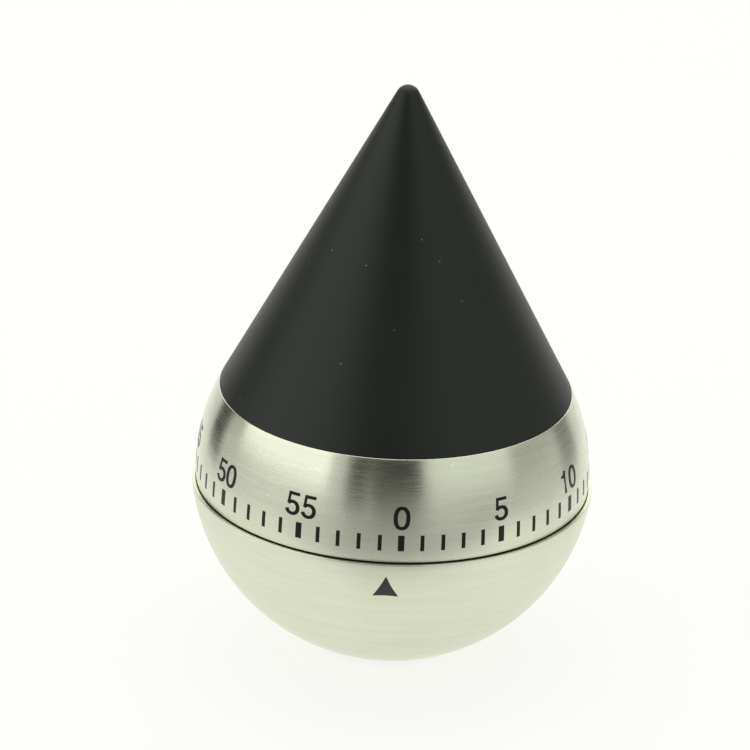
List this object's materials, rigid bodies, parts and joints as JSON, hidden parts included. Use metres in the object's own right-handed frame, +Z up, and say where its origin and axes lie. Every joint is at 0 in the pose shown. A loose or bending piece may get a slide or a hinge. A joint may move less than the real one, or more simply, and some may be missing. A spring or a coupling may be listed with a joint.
{
  "type": "kitchen timer",
  "caption": "Drop-shaped wind-up kitchen timer: matt black cone and graduated steel ring that turn on a steel bowl, with clockwork and bell inside.",
  "frame": {"origin": "centre of the standing face under the bowl", "axes": "+Z up along the dial's axis, pointer mark on the bowl towards -Y"},
  "size_m": [0.0596, 0.0596, 0.0876],
  "materials": {
    "steel": "satin brushed around the axis",
    "black_moulding": "matt black",
    "inner_moulding": "matt black",
    "rubber": "matt",
    "zinc_plate": "zinc plated",
    "brass": "stamped, plain",
    "bell_steel": "nickel plated",
    "bright_steel": "turned",
    "spring_steel": "blued",
    "screw_steel": "zinc plated"
  },
  "bodies": {
    "base": {"bowl_shell": "steel", "movement_housing": "inner_moulding", "foot_plate": "black_moulding", "foot_pad": "rubber", "foot_screws": "screw_steel", "bottom_plate": "zinc_plate", "top_plate": "zinc_plate", "pillars": "bright_steel", "pillar_nuts": "screw_steel", "movement_screws": "screw_steel", "bell": "bell_steel", "bell_post": "zinc_plate", "bell_washer": "screw_steel", "bell_screw": "screw_steel", "detent_stud": "bright_steel", "detent_clip": "spring_steel", "detent_spring": "spring_steel", "spring_post": "bright_steel"},
    "dial": {"cone_cap": "black_moulding", "dial_ring": "steel", "dial_carrier": "inner_moulding", "carrier_screws": "screw_steel", "winding_arbor": "bright_steel", "arbor_clip": "spring_steel", "main_wheel": "brass", "clutch_washer": "spring_steel", "clutch_collar": "screw_steel", "release_cam": "brass"},
    "second_staff": {"second_wheel": "brass", "second_pinion": "bright_steel"},
    "third_staff": {"third_wheel": "brass", "third_pinion": "bright_steel"},
    "escape_staff": {"escape_wheel": "brass", "escape_pinion": "bright_steel"},
    "pallets": {"pallet_lever": "brass", "pallet_pins": "bright_steel", "pallet_arbor": "bright_steel", "swing_weight": "brass"},
    "barrel": {"barrel_drum": "brass", "barrel_cover": "brass", "mainspring": "spring_steel"},
    "alarm_staff": {"alarm_wheel": "brass", "alarm_pinion": "bright_steel"},
    "strike_staff": {"strike_wheel": "brass", "strike_pinion": "bright_steel"},
    "hammer": {"strike_anchor": "brass", "strike_pins": "bright_steel", "hammer_arbor": "bright_steel", "hammer_arm": "zinc_plate", "hammer_head": "brass"},
    "detent": {"detent_lever": "zinc_plate", "detent_finger": "bright_steel"}
  },
  "joints": [
    {"name": "dial_turn", "type": "hinge", "parent": "base", "child": "dial", "pos_m": [0, 0, 0.03], "axis": [0, 0, -1], "range_deg": [0, 352]},
    {"name": "second_turn", "type": "hinge", "parent": "base", "child": "second_staff", "pos_m": [-0.01218, -0.00443, 0.02], "axis": [0, 0, 1], "continuous": true},
    {"name": "third_turn", "type": "hinge", "parent": "base", "child": "third_staff", "pos_m": [-0.01212, 0.00517, 0.02], "axis": [0, 0, 1], "continuous": true},
    {"name": "escape_turn", "type": "hinge", "parent": "base", "child": "escape_staff", "pos_m": [-0.01015, 0.01276, 0.02], "axis": [0, 0, 1], "continuous": true},
    {"name": "pallet_swing", "type": "hinge", "parent": "base", "child": "pallets", "pos_m": [-0.00562, 0.01605, 0.02], "axis": [0, 0, 1], "range_deg": [-2.5, 2.5]},
    {"name": "barrel_turn", "type": "hinge", "parent": "base", "child": "barrel", "pos_m": [0, 0, 0.02], "axis": [0, 0, 1], "range_deg": [0, 300]},
    {"name": "alarm_turn", "type": "hinge", "parent": "base", "child": "alarm_staff", "pos_m": [0.01119, -0.00646, 0.02], "axis": [0, 0, 1], "continuous": true},
    {"name": "strike_turn", "type": "hinge", "parent": "base", "child": "strike_staff", "pos_m": [0.00785, -0.01417, 0.02], "axis": [0, 0, 1], "continuous": true},
    {"name": "hammer_swing", "type": "hinge", "parent": "base", "child": "hammer", "pos_m": [0.0034, -0.01645, 0.02], "axis": [0, 0, 1], "range_deg": [-4, 4]},
    {"name": "detent_swing", "type": "hinge", "parent": "base", "child": "detent", "pos_m": [-0.00445, -0.01222, 0.0305], "axis": [0, 0, -1], "range_deg": [0, 8], "stiffness_Nm_per_rad": 0.0001}
  ],
  "couplings": [
    {"joint": "second_turn", "follows": "dial_turn", "ratio": 8},
    {"joint": "third_turn", "follows": "dial_turn", "ratio": -56},
    {"joint": "escape_turn", "follows": "dial_turn", "ratio": 336},
    {"joint": "alarm_turn", "follows": "barrel_turn", "ratio": -7.5},
    {"joint": "strike_turn", "follows": "barrel_turn", "ratio": 45}
  ]
}
